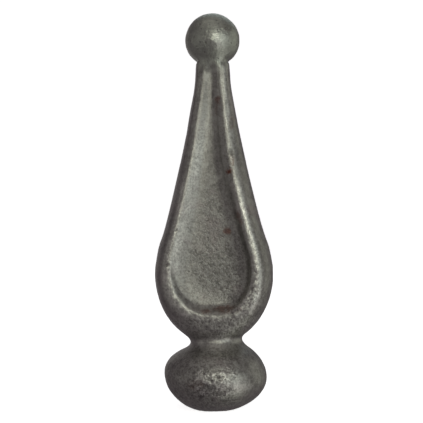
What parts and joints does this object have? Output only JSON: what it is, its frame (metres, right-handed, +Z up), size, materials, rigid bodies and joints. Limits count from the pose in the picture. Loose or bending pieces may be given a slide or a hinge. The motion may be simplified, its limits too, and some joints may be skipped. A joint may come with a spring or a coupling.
{
  "type": "forged fence spike",
  "caption": "Solid forged steel spear point for a fence or gate bar, with a ball tip, a grooved stem, a pear-shaped body recessed on each face and a bulb foot that is welded on.",
  "frame": {"origin": "centre of the small flat weld face under the bulb, which is the middle of the bounding box's base", "axes": "+Z up along the spike to the ball tip; the front face with its recess looks along -Y; +X to the right seen from the front"},
  "size_m": [0.045, 0.0386, 0.15],
  "materials": {
    "forged_steel": "dark grey hot-forged mild steel with thin mill scale, fine grain, rubbed rims and a few rust spots"
  },
  "bodies": {
    "root": {"forged_spike": "forged_steel"}
  },
  "joints": []
}
